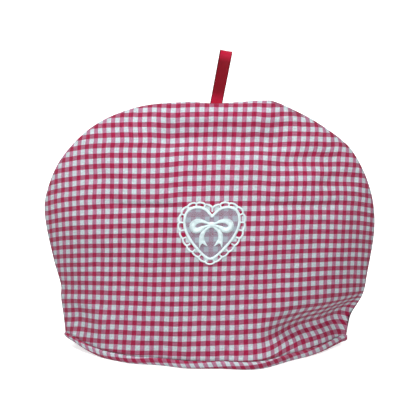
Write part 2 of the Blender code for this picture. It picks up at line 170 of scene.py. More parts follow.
# The softer hollows and sharp creases that only the cloth shows, in the same columns
FRONT_CREASES = [
    ("brow", -74, 250, 104, 248, 2.4, 9, 8, 34),
    ("brow_hollow", -66, 228, 92, 223, -12.5, 8, 11, 36),
    ("shoulder_hollow", 50, 209, 142, 200, -5, 7, 8, 26),
    ("side_hollow", 96, 186, 154, 181, -3.5, 6, 8, 20),
    ("crease_to_heart", -112, 168, -18, 167, -2.4, 2.5, 3, 24),
    ("crease_from_heart", 36, 170, 142, 162, -2.2, 3, 4, 24),
    ("left_hollow", -140, 186, -86, 196, -1.5, 10, 9, 24),
    ("tuck_heart", 44, 31, 230, 34, -10.0, 7, 8, 46),
]
FRONT_CLOTH = FRONT_FOLDS + FRONT_CREASES
# The small unevenness of stuffed cloth: wave length along x and z, turn in degrees, phase, height
CLOTH_WAVES = [
    (71, 118, 12, 0.7, 0.32), (43, 64, -24, 2.1, 0.22),
    (26, 37, 38, 4.4, 0.13), (17, 29, -52, 1.2, 0.08),
]
WAVE_WANDER = 1.3
SWELL_EASE = 12.0           # the waves fade out where the cloth nears the seam
# The seam with the binding draws the panel's lower edge in, so that a narrow groove lies above it
HEM_PINCH = 1.7
HEM_PINCH_HEIGHT = 1.9
# Puckers along the curved seam, counted by the angle round the middle at the given radius
PUCKER_PITCH = 8.5
PUCKER_RADIUS = 160.0
PUCKER_DEPTH = 3.0
PUCKER_REACH = 7.0
PUCKER_HEIGHT = 0.35
PUCKER_WANDER = 1.7
SEAM_STEPS = 24
LEAST_DEPTH = 1e-6


def smooth_line(points, steps, closed=False):
    """A smooth curve through the points, with the given number of steps between two of them."""
    line = np.array(points, float)
    if closed:
        line = np.vstack([line[-1:], line, line[:2]])
    else:
        line = np.vstack([2 * line[0] - line[1], line, 2 * line[-1] - line[-2]])
    t = np.linspace(0, 1, steps, endpoint=False)[:, None]
    pieces = []
    for before, start, end, after in zip(line, line[1:], line[2:], line[3:]):
        bend = 2 * before - 5 * start + 4 * end - after
        twist = 3 * start - before - 3 * end + after
        pieces.append(0.5 * (2 * start + (end - before) * t + bend * t**2 + twist * t**3))
    if not closed:
        pieces.append(line[-2:-1])
    return np.vstack(pieces)


def table_value(table, x):
    columns = np.array(table, float)
    return np.interp(x, columns[:, 0], columns[:, 1])


def smooth_step(value):
    value = np.clip(value, 0, 1)
    return value * value * (3 - 2 * value)


def hem_underside(x):
    return table_value(HEM_LIFT, x)


def hem_seam_height(x):
    return hem_underside(x) + BINDING_HEIGHT * table_value(HEM_SHARE, x)


def directions(line):
    """Unit vectors along a line, at each of its points."""
    along = np.gradient(line, axis=0)
    return along / np.linalg.norm(along, axis=1)[:, None]


def inset_line(line, distance):
    along = directions(line)
    moved = line + distance * np.stack([along[:, 1], -along[:, 0]], axis=1)
    moved[0] = line[0] + (distance, 0)
    moved[-1] = line[-1] - (distance, 0)
    return moved


SEAM_LINE = smooth_line(SEAM_POINTS, SEAM_STEPS)
INNER_LINE = inset_line(SEAM_LINE, SEAM_WIDTH)


def share_of_way_out(x, z, line):
    """0 in the middle of the panel and 1 on its seam; also how much of the way there is upwards."""
    half = len(line) // 2
    left, right = line[:half], line[half:][::-1]
    low = np.minimum(z, MIDDLE_HEIGHT)
    left_edge = np.interp(low, left[:, 1], left[:, 0])
    right_edge = np.interp(low, right[:, 1], right[:, 0])
    share_low = np.where(x < 0, x / left_edge, x / right_edge)
    rise = line[:, 1] - MIDDLE_HEIGHT
    angle = np.arctan2(x, z - MIDDLE_HEIGHT)
    radius = np.interp(angle, np.arctan2(line[:, 0], rise), np.hypot(line[:, 0], rise))
    share_high = np.hypot(x, z - MIDDLE_HEIGHT) / radius
    above = z >= MIDDLE_HEIGHT
    out = np.clip(np.where(above, share_high, share_low), 0, 1)
    return out, np.where(above, np.cos(angle) ** 2, 0)


def fold_depth(x, z, folds):
    total = np.zeros(np.broadcast(x, z).shape)
    for name, x0, z0, x1, z1, depth, below, above, fade in folds:
        length = np.hypot(x1 - x0, z1 - z0)
        run_x, run_z = (x1 - x0) / length, (z1 - z0) / length
        along = (x - x0) * run_x + (z - z0) * run_z
        off = (z - z0) * run_x - (x - x0) * run_z
        spread = np.where(off < 0, below, above)
        ends = smooth_step(along / fade) * smooth_step((length - along) / fade)
        total += depth * ends * np.exp(-((off / spread) ** 2))
    return total


def panel_depth(x, z, line, folds, wall=0.0):
    """How far the cloth stands out from the plane of the side seams."""
    out, up = share_of_way_out(x, z, line)
    fullness = FULLNESS[0] - FULLNESS[1] * up
    roundness = ROUNDNESS[0] - ROUNDNESS[1] * up
    spread = (DEPTH_AT_HEM - DEPTH_AT_MIDDLE) * np.clip(1 - z / MIDDLE_HEIGHT, 0, 1) ** SPREAD_POWER
    smooth = (DEPTH_AT_MIDDLE + spread - wall) * (1 - out**fullness) ** roundness
    smooth = np.maximum(smooth, LEAST_DEPTH)
    fold = fold_depth(x, z, folds)
    pushed_in = smooth * np.exp(np.minimum(fold, 0) / smooth)
    return pushed_in + np.maximum(fold, 0) * (1 - np.exp(-smooth / ROLL_EASE))


def cloth_waves(x, z):
    total = np.zeros(np.broadcast(x, z).shape)
    for across, up, turn, phase, height in CLOTH_WAVES:
        angle = np.radians(turn)
        u = x * np.cos(angle) + z * np.sin(angle)
        v = z * np.cos(angle) - x * np.sin(angle)
        wander = WAVE_WANDER * np.sin(2 * np.pi * v / up)
        total += height * np.sin(2 * np.pi * u / across + phase + wander)
    return total


def crowd(share):
    return share - EDGE_CROWDING * np.sin(2 * np.pi * share) / (2 * np.pi)


def line_length(line):
    return np.concatenate([[0], np.cumsum(np.linalg.norm(np.diff(line, axis=0), axis=1))])


def along_line(line, share):
    length = line_length(line)
    at = share * length[-1]
    return np.stack([np.interp(at, length, line[:, i]) for i in range(2)], axis=-1)


def panel_grid(line, across, up):
    """Points in front view that fill the space between the hem and the seam line: [row][column] x, z."""
    u, v = crowd(np.linspace(0, 1, across + 1)), crowd(np.linspace(0, 1, up + 1))
    left = along_line(line, v * CORNER_SHARE)
    right = along_line(line, 1 - v * CORNER_SHARE)
    top = along_line(line, CORNER_SHARE + u * (1 - 2 * CORNER_SHARE))
    hem_x = line[0, 0] + u * (line[-1, 0] - line[0, 0])
    bottom = np.stack([hem_x, hem_seam_height(hem_x)], axis=-1)
    bottom[0], bottom[-1] = left[0], right[0]
    u, v = u[None, :, None], v[:, None, None]
    sides = (1 - u) * left[:, None] + u * right[:, None]
    ends = (1 - v) * bottom[None] + v * top[None]
    low_corners = (1 - u) * left[0] + u * right[0]
    high_corners = (1 - u) * left[-1] + u * right[-1]
    return sides + ends - ((1 - v) * low_corners + v * high_corners)


# How the check lies on the dome, for each 100 mm of cloth: the weft leans and spreads, the warp sags
# at the sides. Powers of the distance across and up, millimetres across, millimetres up
CHECK_LAY = [
    (1, 0, 100.4, -2.5), (0, 1, -3.0, 101.6), (1, 1, 2.9, 1.0), (1, 2, -2.9, 0.0), (2, 0, 0.0, 2.5),
    (0, 2, -0.4, 2.8), (0, 3, 0.0, -1.3), (2, 1, 0.0, 1.1), (4, 0, 0.0, 1.5),
]
# In the tuck at the right the cloth slips to the left, and takes up more height than the dome has
TUCK_SLIP_START = 40.0
TUCK_TAKE_START = 85.0
TUCK_TOP = 62.0
TUCK_HEIGHT = 22.0
TUCK_TAKE = 0.18
TUCK_SLIP = 0.11
TUCK_RELEASE = (38.0, 28.0)
# The part of the front view in which the lengths along the cloth are added up, and the step in it
TABLE_ACROSS = (-172.0, 172.0)
TABLE_UP = (0.0, 270.0)
TABLE_STEP = 1.0


def lay_check(u, v, x, z, tuck):
    """From distances on the dome to places on the cloth, in millimetres across and up."""
    across, up = 0 * u, 0 * v
    for power_u, power_v, move_across, move_up in CHECK_LAY:
        term = (u / 100) ** power_u * (v / 100) ** power_v
        across += move_across * term
        up += move_up * term
    below = tuck * smooth_step((TUCK_TOP - z) / TUCK_HEIGHT)
    held = 1 - smooth_step((TUCK_RELEASE[0] - z) / TUCK_RELEASE[1])
    slip = TUCK_SLIP * np.maximum(x - TUCK_SLIP_START, 0) * held
    return across + below * slip, up - below * TUCK_TAKE * np.maximum(x - TUCK_TAKE_START, 0)


def cloth_coordinates(folds, tuck):
    """Where each point of the panel lies on the flat cloth, as tables of the places across and up."""
    x = np.arange(TABLE_ACROSS[0], TABLE_ACROSS[1] + TABLE_STEP / 2, TABLE_STEP)
    z = np.arange(TABLE_UP[0], TABLE_UP[1] + TABLE_STEP / 2, TABLE_STEP)
    grid_x, grid_z = np.meshgrid(x, z)
    depth = panel_depth(grid_x, grid_z, SEAM_LINE, folds)
    step_x = np.hypot(TABLE_STEP, np.diff(depth, axis=1))
    step_z = np.hypot(TABLE_STEP, np.diff(depth, axis=0))
    along_x = np.concatenate([np.zeros((len(z), 1)), np.cumsum(step_x, axis=1)], axis=1)
    along_z = np.concatenate([np.zeros((1, len(x))), np.cumsum(step_z, axis=0)], axis=0)
    along_x -= along_x[:, [len(x) // 2]]
    along_z -= along_z[[int(MIDDLE_HEIGHT / TABLE_STEP)]]
    return x, z, *lay_check(along_x, along_z, grid_x, grid_z, tuck)


def read_table(x, z, table_x, table_z, values):
    column = np.clip((x - table_x[0]) / (table_x[1] - table_x[0]), 0, len(table_x) - 1.001)
    row = np.clip((z - table_z[0]) / (table_z[1] - table_z[0]), 0, len(table_z) - 1.001)
    i, j = row.astype(int), column.astype(int)
    a, b = row - i, column - j
    low = values[i, j] * (1 - b) + values[i, j + 1] * b
    high = values[i + 1, j] * (1 - b) + values[i + 1, j + 1] * b
    return low * (1 - a) + high * a


def add_rows(bm, rows):
    return [[bm.verts.new(point * MM) for point in row] for row in rows]


def skin(bm, rows, rows_closed=False, columns_closed=False, slot=0):
    faces = []
    for i in range(len(rows) if rows_closed else len(rows) - 1):
        row, next_row = rows[i], rows[(i + 1) % len(rows)]
        for j in range(len(row) if columns_closed else len(row) - 1):
            k = (j + 1) % len(row)
            face = bm.faces.new((row[j], row[k], next_row[k], next_row[j]))
            face.material_index = slot
            faces.append(face)
    return faces


def finish_mesh(bm, name, materials):
    bmesh.ops.recalc_face_normals(bm, faces=bm.faces)
    mesh = bpy.data.meshes.new(name)
    bm.to_mesh(mesh)
    bm.free()
    for material in materials:
        mesh.materials.append(material)
    mesh.shade_smooth()
    return mesh


def set_cloth_places(bm, uv, place):
    for face in bm.faces:
        for loop in face.loops:
            loop[uv].uv = place[loop.vert]


def rim_rows(sheets):
    """The border of each sheet, once round, to join two sheets along their edges."""
    rims = []
    for sheet in sheets:
        right, left = [row[-1] for row in sheet], [row[0] for row in sheet]
        rims.append(sheet[0] + right[1:] + sheet[-1][-2::-1] + left[-2:0:-1])
    return rims


def uneven(x, z, depth, side):
    """Small swellings of the wadding, and the puckers that the seam's stitches draw into the cloth."""
    ease = 1 - np.exp(-depth / SWELL_EASE)
    run = np.arctan2(x, z - MIDDLE_HEIGHT) * PUCKER_RADIUS
    pucker = np.sin(2 * np.pi * run / PUCKER_PITCH + PUCKER_WANDER * np.sin(run / PUCKER_PITCH))
    near_seam = np.exp(-((depth - PUCKER_DEPTH) / PUCKER_REACH) ** 2) * smooth_step(depth / 2)
    return ease * cloth_waves(x, z * side) + PUCKER_HEIGHT * pucker * near_seam


def make_panel(name, side, folds, tuck, seam, materials):
    """The outer cotton, the lining cotton inside it and the turned-in edge that joins them."""
    table_x, table_z, along_x, along_z = cloth_coordinates(folds, tuck)
    bm = bmesh.new()
    uv = bm.loops.layers.uv.new("cloth")
    sheets, place = [], {}
    for line, wall, slot in ((seam, 0.0, 0), (inset_line(seam, SEAM_WIDTH), WALL, 1)):
        grid = panel_grid(line, *PANEL_CELLS)
        x, z = grid[..., 0], grid[..., 1]
        depth = panel_depth(x, z, line, folds, wall)
        if slot == 0:
            depth += uneven(x, z, depth, side)
            above_hem = (z - hem_seam_height(x)) / HEM_PINCH_HEIGHT
            depth -= np.minimum(HEM_PINCH, depth / 2) * np.exp(-above_hem**2)
        depth[:, [0, -1]] = 0
        depth[-1] = 0
        verts = add_rows(bm, np.stack([x, side * (depth + SEAM_GAP), z], axis=-1))
        skin(bm, verts, slot=slot)
        cloth_u = read_table(x, z, table_x, table_z, along_x) * MM
        cloth_v = read_table(x, z, table_x, table_z, along_z) * MM
        for row, us, vs in zip(verts, cloth_u, cloth_v):
            place.update(zip(row, zip(us, vs)))
        sheets.append(verts)
    skin(bm, rim_rows(sheets), columns_closed=True)
    set_cloth_places(bm, uv, place)
    return link_object(name, finish_mesh(bm, name, materials))


class Nodes:
    """A short way to write a material's tree: each call adds one node and gives its output."""

    def __init__(self, name):
        self.material = bpy.data.materials.new(name)
        self.material.use_nodes = True
        self.tree = self.material.node_tree
        self.shader = self.tree.nodes["Principled BSDF"]

    def add(self, kind, **settings):
        node = self.tree.nodes.new(kind)
        for key, value in settings.items():
            setattr(node, key, value)
        return node

    def join(self, value, socket):
        if isinstance(value, bpy.types.NodeSocket):
            self.tree.links.new(value, socket)
        else:
            socket.default_value = value

    def math(self, operation, a, b=0.0, c=0.0):
        node = self.add("ShaderNodeMath", operation=operation)
        for value, socket in zip((a, b, c), node.inputs):
            self.join(value, socket)
        return node.outputs[0]

    def ramp(self, value, low, high):
        node = self.add("ShaderNodeMapRange", interpolation_type="SMOOTHSTEP")
        self.join(value, node.inputs["Value"])
        self.join(low, node.inputs["From Min"])
        self.join(high, node.inputs["From Max"])
        return node.outputs["Result"]

    def mix(self, share, a, b, blend="MIX"):
        """Two colours mixed; sockets 6 and 7 of a Mix node are its colours, and output 2 the result."""
        node = self.add("ShaderNodeMix", data_type="RGBA", blend_type=blend)
        self.join(share, node.inputs[0])
        self.join(a, node.inputs[6])
        self.join(b, node.inputs[7])
        return node.outputs[2]

    def noise(self, vector, scale, detail=2.0, stretch=(1, 1, 1)):
        mapping = self.add("ShaderNodeMapping")
        self.join(vector, mapping.inputs["Vector"])
        mapping.inputs["Scale"].default_value = stretch
        node = self.add("ShaderNodeTexNoise")
        node.inputs["Scale"].default_value = scale
        node.inputs["Detail"].default_value = detail
        self.join(mapping.outputs[0], node.inputs["Vector"])
        return node.outputs["Fac"]

    def uv(self, layer):
        return self.add("ShaderNodeUVMap", uv_map=layer).outputs[0]

    def bump(self, height, distance, strength):
        node = self.add("ShaderNodeBump")
        node.inputs["Strength"].default_value = strength
        node.inputs["Distance"].default_value = distance
        self.join(height, node.inputs["Height"])
        self.join(node.outputs[0], self.shader.inputs["Normal"])

    def paint(self, colour, roughness, specular=0.5):
        self.join(colour, self.shader.inputs["Base Color"])
        self.shader.inputs["Roughness"].default_value = roughness
        self.shader.inputs["Specular IOR Level"].default_value = specular


def rgb(red, green, blue):
    return (red, green, blue, 1.0)


# In metres: one red and one white stripe together, across and up, and one thread over and under
CHECK_ACROSS = 0.00905
CHECK_UP = 0.01030
THREAD = 0.00043
# Colour of each crossing of the stripes, and how much the slubs in the yarn vary it
CRIMSON = ((0.292, 0.0035, 0.044), 0.22)        # red warp, red weft
ROSE = ((0.395, 0.158, 0.253), 0.20)            # red warp, white weft
PINK = ((0.333, 0.106, 0.177), 0.26)            # white warp, red weft
WHITE = ((0.500, 0.582, 0.609), 0.09)           # white warp, white weft
# Where red turns to white, from the middle of the red, as a share of both stripes together
STRIPE_EDGE = (0.225, 0.265)
STRIPE_WOBBLE = 0.0009
WOBBLE_SCALE = 55.0
SLUB_SCALE = 900.0
SLUB_LENGTHWAYS = 0.10
SLUB_CROSSWAYS = 1.6
SLUB_RANGE = (0.28, 0.72)
SLUB_RELIEF = 1.2           # height of the slubs against that of the weave
FLECK_SCALE = 620.0
FLECK_SHARE = 0.60
FLECK_BASE = 0.70
WEAVE_SHADE = 0.07
WEAVE_RELIEF = 0.00012


def slubbed(nodes, yarn, streaks):
    """A yarn's colour, lighter and darker along its slubs."""
    colour, contrast = yarn
    dark = rgb(*[part * (1 - contrast) for part in colour])
    light = rgb(*[part * (1 + contrast) for part in colour])
    return nodes.mix(nodes.ramp(streaks, *SLUB_RANGE), dark, light)


def check_cotton(name, shift):
    """Plain-woven cotton with red and white stripes both ways, so that they cross in a check."""
    nodes = Nodes(name)
    mapping = nodes.add("ShaderNodeMapping")
    nodes.join(nodes.uv("cloth"), mapping.inputs["Vector"])
    mapping.inputs["Location"].default_value = (*shift, 0)
    cloth = mapping.outputs[0]
    parts = nodes.add("ShaderNodeSeparateXYZ")
    nodes.join(cloth, parts.inputs[0])
    across, up = parts.outputs[0], parts.outputs[1]
    wobble = nodes.noise(cloth, WOBBLE_SCALE)
    drift = nodes.math("MULTIPLY_ADD", wobble, STRIPE_WOBBLE, -STRIPE_WOBBLE / 2)
    white_parts = []
    for move, place, period in (("ADD", across, CHECK_ACROSS), ("SUBTRACT", up, CHECK_UP)):
        moved = nodes.math(move, place, drift)
        phase = nodes.math("FRACT", nodes.math("DIVIDE", moved, period))
        off = nodes.math("ABSOLUTE", nodes.math("SUBTRACT", phase, 0.5))
        white_parts.append(nodes.ramp(off, *STRIPE_EDGE))
    warp_white, weft_white = white_parts
    waves = []
    for place in (across, up):
        waves.append(nodes.math("SINE", nodes.math("MULTIPLY", place, 2 * math.pi / THREAD)))
    over = nodes.math("MULTIPLY", *waves)
    weft_slubs = nodes.noise(cloth, SLUB_SCALE, stretch=(SLUB_LENGTHWAYS, SLUB_CROSSWAYS, 1))
    warp_slubs = nodes.noise(cloth, SLUB_SCALE, stretch=(SLUB_CROSSWAYS, SLUB_LENGTHWAYS, 1))
    crimson, rose = slubbed(nodes, CRIMSON, warp_slubs), slubbed(nodes, ROSE, warp_slubs)
    pink, white = slubbed(nodes, PINK, weft_slubs), slubbed(nodes, WHITE, weft_slubs)
    red_row = nodes.mix(warp_white, crimson, pink)
    white_row = nodes.mix(warp_white, rose, white)
    colour = nodes.mix(weft_white, red_row, white_row)
    flecks = nodes.noise(cloth, FLECK_SCALE, detail=1.0)
    fleck = nodes.math("MULTIPLY_ADD", flecks, FLECK_SHARE, FLECK_BASE)
    shade = nodes.math("MULTIPLY_ADD", over, WEAVE_SHADE, fleck)
    grey = nodes.add("ShaderNodeCombineColor")
    for socket in grey.inputs[:3]:
        nodes.join(shade, socket)
    shaded = nodes.mix(1.0, colour, grey.outputs[0], blend="MULTIPLY")
    nodes.paint(shaded, roughness=0.88, specular=0.25)
    nodes.shader.inputs["Sheen Weight"].default_value = 0.12
    nodes.shader.inputs["Sheen Roughness"].default_value = 0.5
    relief = nodes.math("ADD", over, nodes.math("MULTIPLY", weft_slubs, SLUB_RELIEF))
    nodes.bump(relief, distance=WEAVE_RELIEF, strength=0.6)
    return nodes.material


LINING_COLOURS = (rgb(0.74, 0.72, 0.68), rgb(0.80, 0.79, 0.76))
LINING_WEAVE_SCALE = 1400.0
LINING_BLOTCH_SCALE = 30.0
BLOTCH_RANGE = (0.3, 0.7)


def lining_cotton():
    nodes = Nodes("lining_cotton")
    weave = nodes.noise(nodes.uv("cloth"), LINING_WEAVE_SCALE)
    blotch = nodes.noise(nodes.uv("cloth"), LINING_BLOTCH_SCALE, detail=3.0)
    colour = nodes.mix(nodes.ramp(blotch, *BLOTCH_RANGE), *LINING_COLOURS)
    nodes.paint(colour, roughness=0.92, specular=0.2)
    nodes.bump(weave, distance=0.00015, strength=0.5)
    return nodes.material


CHECK_SHIFT = (0.0043, 0.00347)
panel_materials = [check_cotton("check_cotton", CHECK_SHIFT), lining_cotton()]
front_panel = make_panel("front_panel_cloth", -1, FRONT_CLOTH, 1, SEAM_LINE, panel_materials)
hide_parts("front_panel")
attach(front_panel, "root")

# The back panel. The same cut as the front, with its own folds, because the cosy leans and creases a
# little differently behind. It meets the front along the seam.
BACK_FOLDS = [
    ("top_trough", -80, 244, 70, 243, -2.2, 9, 8, 34),
    ("crease", -120, 160, 130, 162, -1.0, 6, 3, 40),
    ("fold_valley", 70, 44, 156, 38, -9, 9, 9, 40),
    ("fold_roll", 60, 60, 162, 68, 3.5, 11, 15, 40),
    ("left_dip", -136, 8, -126, 66, -4, 12, 14, 26),
    ("middle_dent", -40, 70, 30, 96, -2.0, 16, 18, 50),
]
# Along the right shoulder the back panel stands out a little past the front one
SEAM_STEP = 1.3
SEAM_STEP_FROM = 52.0
SEAM_STEP_TO = 150.0
SEAM_STEP_FADE = 18.0
past_start = smooth_step((SEAM_LINE[:, 0] - SEAM_STEP_FROM) / SEAM_STEP_FADE)
before_end = smooth_step((SEAM_STEP_TO - SEAM_LINE[:, 0]) / SEAM_STEP_FADE)
standing_out = past_start * before_end * (SEAM_LINE[:, 1] > MIDDLE_HEIGHT)
back_seam = SEAM_LINE + standing_out[:, None] * (SEAM_LINE - inset_line(SEAM_LINE, SEAM_STEP))
back_panel = make_panel("back_panel_cloth", 1, BACK_FOLDS, 0, back_seam, panel_materials)
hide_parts("back_panel")
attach(back_panel, "root")

# The hem's binding. A strip of the same check, cut a little off the straight, folded over the lower
# edges of both panels from outside to inside and sewn through, so that it stands as a soft roll.
BINDING_STEPS = 150
BINDING_BULGE = 1.3
BINDING_CLOTH = 0.5
BINDING_CLIMB = 0.08        # how the check's rows climb towards the right in the strip
BINDING_SHEAR = 0.45        # how the strip's outer fold is drawn along against its inner one
BINDING_SHIFT = (0.0, 0.00255)
# The strip's outer face, from the groove outside, round the underside, to the groove inside: share
# of the width, bulge outwards, share of the height
BINDING_SECTION = [
    (0.24, 0.0, 0.95), (0.06, 0.3, 0.99), (0.0, 0.8, 0.88), (0.0, 1.0, 0.64), (0.0, 0.92, 0.34),
    (0.06, 0.35, 0.1), (0.2, 0.0, 0.0), (0.5, 0.0, 0.0), (0.8, 0.0, 0.0), (0.96, -0.3, 0.1),
    (1.0, -0.5, 0.34), (1.0, -0.5, 0.66), (1.0, -0.2, 0.93), (0.95, 0.3, 1.04),
]
SECTION_STEPS = 3
# Ripples of the sewn strip along the hem: height, length, and how far and how slowly they wander
BINDING_RIPPLES = [(0.22, 4.1, 1.4, 23.0), (0.16, 9.7, 0.0, 23.0)]


def hem_loop(line, wall):
    """Plan of the panels' lower edge, once round from the left corner: x, y."""
    u = crowd(np.linspace(0, 1, BINDING_STEPS + 1))
    x = line[0, 0] + u * (line[-1, 0] - line[0, 0])
    z = hem_seam_height(x)
    front = -panel_depth(x, z, line, FRONT_FOLDS, wall)
    back = panel_depth(x, z, line, BACK_FOLDS, wall)
    front[[0, -1]] = 0
    x, y = np.concatenate([x, x[-2:0:-1]]), np.concatenate([front, back[-2:0:-1]])
    return np.stack([x, y], axis=-1)


def make_binding(materials):
    """The strip as one closed cloth, with the lengths round the hem and over the fold."""
    outer, inner = hem_loop(SEAM_LINE, 0.0), hem_loop(INNER_LINE, WALL)
    width = np.linalg.norm(inner - outer, axis=1)
    across = (inner - outer) / width[:, None]
    section = smooth_line(BINDING_SECTION, SECTION_STEPS)
    section[:, 2] = np.maximum(section[:, 2], 0)
    run = line_length(np.vstack([outer, outer[:1]]))
    ripple = np.zeros(len(outer))
    for height, length, wander, wander_length in BINDING_RIPPLES:
        ripple += height * np.sin(run[:-1] / length + wander * np.sin(run[:-1] / wander_length))
    rows = []
    for share, bulge, up in section:
        bottom = (1 - share) * hem_underside(outer[:, 0]) + share * hem_underside(inner[:, 0])
        top = (1 - share) * hem_seam_height(outer[:, 0]) + share * hem_seam_height(inner[:, 0])
        out = bulge * BINDING_BULGE + ripple * max(0.0, min(1.0, bulge))
        plan = outer + across * (share * width - out)[:, None]
        rows.append(np.column_stack([plan, bottom + up * (top - bottom)]))
    rows = np.array(rows)
    strip = line_length(rows[:, len(outer) // 4])
    inside = rows.copy()
    centre = (outer + inner) / 2
    for layer, share in zip(inside, section[:, 0]):
        inward = np.column_stack([centre - layer[:, :2], np.zeros(len(centre))])
        inward /= np.maximum(np.linalg.norm(inward, axis=1), LEAST_DEPTH)[:, None]
        side_share = (2 * share - 1) ** 2
        layer += BINDING_CLOTH * (inward * side_share + np.array([0, 0, 1 - side_share]))
    bm = bmesh.new()
    uv = bm.loops.layers.uv.new("cloth")
    sheets = [add_rows(bm, rows), add_rows(bm, inside)]
    place = {}
    for sheet in sheets:
        for row, across_strip in zip(sheet, strip):
            for vert, along_strip in zip(row, run[:-1]):
                sheared = along_strip - BINDING_SHEAR * across_strip
                place[vert] = (sheared * MM, (across_strip + BINDING_CLIMB * along_strip) * MM)
        skin(bm, sheet, columns_closed=True)
    skin(bm, [sheets[0][0], sheets[1][0]], columns_closed=True)
    skin(bm, [sheets[0][-1], sheets[1][-1]], columns_closed=True)
    for face in bm.faces:
        us = [place[loop.vert][0] for loop in face.loops]
        for loop in face.loops:
            u, v = place[loop.vert]
            if max(us) - u > run[-1] * MM / 2:
                u += run[-1] * MM
            loop[uv].uv = (u, v)
    binding = link_object("hem_binding_cloth", finish_mesh(bm, "hem_binding_cloth", materials))
    return binding, run[-1], strip[-1]


binding_cotton = check_cotton("binding_cotton", BINDING_SHIFT)
hem_binding, binding_run, binding_strip = make_binding([binding_cotton])
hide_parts("hem_binding")
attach(hem_binding, "root")

# The ribbon loop. One length of red satin ribbon folded in half without a crease, both ends caught
# in the seam at the top, so that it stands up as a narrow loop and leans to the right.
RIBBON_WIDTH = 11.8
RIBBON_CLOTH = 0.35
RIBBON_LENGTH = 52.4
RIBBON_BASE = (6.1, 259.7)
RIBBON_LEAN = math.radians(10.4)
RIBBON_TOP_RADIUS = 4.3
RIBBON_TUCK = 3.0
RIBBON_CUP = 0.25
RIBBON_FOOT_GAP = 0.3
RIBBON_STEPS = (60, 40)     # up each leg, round the top
RIBBON_ROWS = 17
# The ribbon is thinner between its two woven edges: share of the thickness, and where the edge starts
RIBBON_THIN = 0.55
BEAD_START = 0.86
BEAD_WIDTH = 0.08
# Colours of the satin with its light and shade painted in: painted shade along the legs, and a painted
# highlight where it catches the light at the fold and at the foot
SATIN_PAINTED_SHADE = (rgb(0.15, 0.0005, 0.006), rgb(0.21, 0.001, 0.010))
SATIN_PAINTED_HIGHLIGHT = (rgb(0.33, 0.002, 0.022), rgb(0.40, 0.004, 0.030))
SATIN_EDGE = rgb(0.09, 0.001, 0.006)
# In metres: from the ribbon's middle to its edge, the lit lengths at the fold and at the foot, one rib
EDGE_FROM_MIDDLE = (0.0050, 0.0056)
LIT_AT_FOLD = (0.006, 0.013)
LIT_AT_FOOT = (0.016, 0.004)
SATIN_RIB = 0.00035
STREAK_SCALE = 500.0
STREAK_STRETCH = (4.0, 0.12, 1)


def ribbon_path():
    """Middle line of the folded ribbon in its own plane: y, height above the seam."""
    steps_up, steps_round = RIBBON_STEPS
    radius = RIBBON_TOP_RADIUS - RIBBON_CLOTH / 2
    straight = RIBBON_LENGTH - RIBBON_TOP_RADIUS
    rise = np.linspace(-RIBBON_TUCK / straight, 1, steps_up + 1)
    half_gap = RIBBON_FOOT_GAP + (radius - RIBBON_FOOT_GAP) * smooth_step(rise)
    leg = np.stack([-half_gap, rise * straight], axis=-1)
    turn = np.linspace(np.pi, 0, steps_round + 1)[1:-1]
    top = np.stack([radius * np.cos(turn), straight + radius * np.sin(turn)], axis=-1)
    return np.vstack([leg, top, (leg * (-1, 1))[::-1]])


ribbon_run = line_length(ribbon_path())[-1]


def make_ribbon(materials):
    """The ribbon's two faces and the edge round them."""
    path = ribbon_path()
    along = directions(path)
    across = np.stack([along[:, 1], -along[:, 0]], axis=-1)
    run = line_length(path)
    sides = np.linspace(-1, 1, RIBBON_ROWS)
    sheets = []
    bm = bmesh.new()
    uv = bm.loops.layers.uv.new("cloth")
    place = {}
    for face in (-1, 1):
        rows = []
        for side in sides:
            bead = smooth_step((abs(side) - BEAD_START) / BEAD_WIDTH)
            half_thick = RIBBON_CLOTH / 2 * (RIBBON_THIN + (1 - RIBBON_THIN) * bead)
            y, up = (path + across * (face * half_thick - RIBBON_CUP * side * side)).T
            beside = side * RIBBON_WIDTH / 2
            x = RIBBON_BASE[0] + beside * np.cos(RIBBON_LEAN) + up * np.sin(RIBBON_LEAN)
            z = RIBBON_BASE[1] - beside * np.sin(RIBBON_LEAN) + up * np.cos(RIBBON_LEAN)
            rows.append(np.column_stack([x, y, z]))
        sheet = add_rows(bm, np.array(rows))
        for row, side in zip(sheet, sides):
            for vert, distance in zip(row, run):
                place[vert] = (side * RIBBON_WIDTH / 2 * MM, distance * MM)
        skin(bm, sheet)
        sheets.append(sheet)
    skin(bm, rim_rows(sheets), columns_closed=True)
    set_cloth_places(bm, uv, place)
    return link_object("ribbon_loop_satin", finish_mesh(bm, "ribbon_loop_satin", materials))


def red_satin():
    nodes = Nodes("red_satin")
    cloth = nodes.uv("cloth")
    parts = nodes.add("ShaderNodeSeparateXYZ")
    nodes.join(cloth, parts.inputs[0])
    edge = nodes.ramp(nodes.math("ABSOLUTE", parts.outputs[0]), *EDGE_FROM_MIDDLE)
    streak = nodes.noise(cloth, STREAK_SCALE, detail=3.0, stretch=STREAK_STRETCH)
    dark = nodes.mix(nodes.ramp(streak, *BLOTCH_RANGE), *SATIN_PAINTED_SHADE)
    lit = nodes.mix(nodes.ramp(streak, *BLOTCH_RANGE), *SATIN_PAINTED_HIGHLIGHT)
    # The satin is coloured lighter at the foot and at the fold and darker between: painted highlight and
    # painted shade along the ribbon
    leg = ribbon_run * MM / 2
    from_fold = nodes.math("ABSOLUTE", nodes.math("SUBTRACT", parts.outputs[1], leg))
    at_foot = nodes.ramp(from_fold, leg - LIT_AT_FOOT[0], leg - LIT_AT_FOOT[1])
    face = nodes.mix(at_foot, nodes.mix(nodes.ramp(from_fold, *LIT_AT_FOLD), lit, dark), lit)
    nodes.paint(nodes.mix(edge, face, SATIN_EDGE), roughness=0.4, specular=0.1)
    ribs = nodes.math("SINE", nodes.math("MULTIPLY", parts.outputs[1], 2 * math.pi / SATIN_RIB))
    relief = nodes.math("ADD", nodes.math("MULTIPLY", ribs, 0.3), streak)
    nodes.bump(relief, distance=0.00006, strength=0.5)
    return nodes.material


ribbon_loop = make_ribbon([red_satin()])
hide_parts("ribbon_loop")
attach(ribbon_loop, "root")

